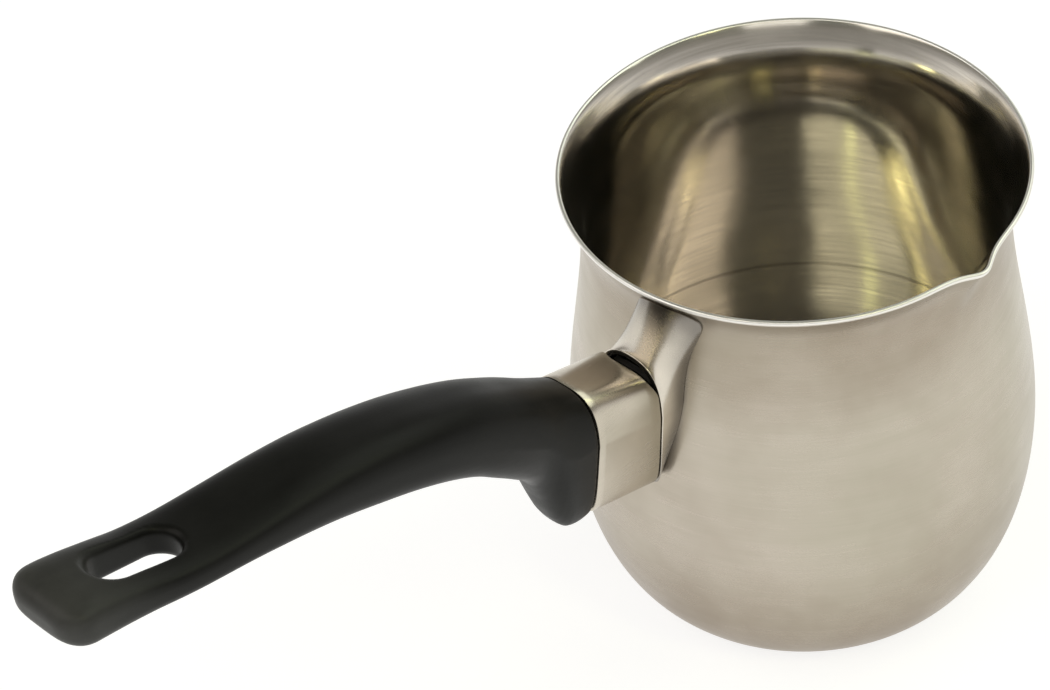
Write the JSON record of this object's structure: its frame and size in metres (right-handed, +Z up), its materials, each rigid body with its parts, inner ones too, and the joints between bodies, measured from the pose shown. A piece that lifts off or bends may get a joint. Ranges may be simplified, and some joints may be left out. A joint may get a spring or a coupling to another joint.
{
  "type": "candle melting pot",
  "caption": "Belly-shaped steel melting pot with a flared rim, one pressed pouring lip and a curved black side handle with a hanging slot.",
  "frame": {"origin": "centre of the flat base, on the surface the pot stands on", "axes": "+Z up along the pot's axis, +X out along the handle, +Y to the side of the pouring lip"},
  "size_m": [0.2424, 0.1003, 0.1362],
  "materials": {
    "stainless_body": "satin, brushed round the pot",
    "stainless_bracket": "polished",
    "plate_steel": "mill",
    "stainless_ferrule": "satin",
    "black_phenolic": "satin moulded",
    "zinc_steel": "zinc plated"
  },
  "bodies": {
    "root": {"pot_body": "stainless_body", "handle_bracket": "stainless_bracket", "bracket_tongue": "plate_steel", "ferrule": "stainless_ferrule", "grip": "black_phenolic", "handle_screw": "zinc_steel", "spring_washer": "zinc_steel", "flat_washer": "zinc_steel"}
  },
  "joints": []
}
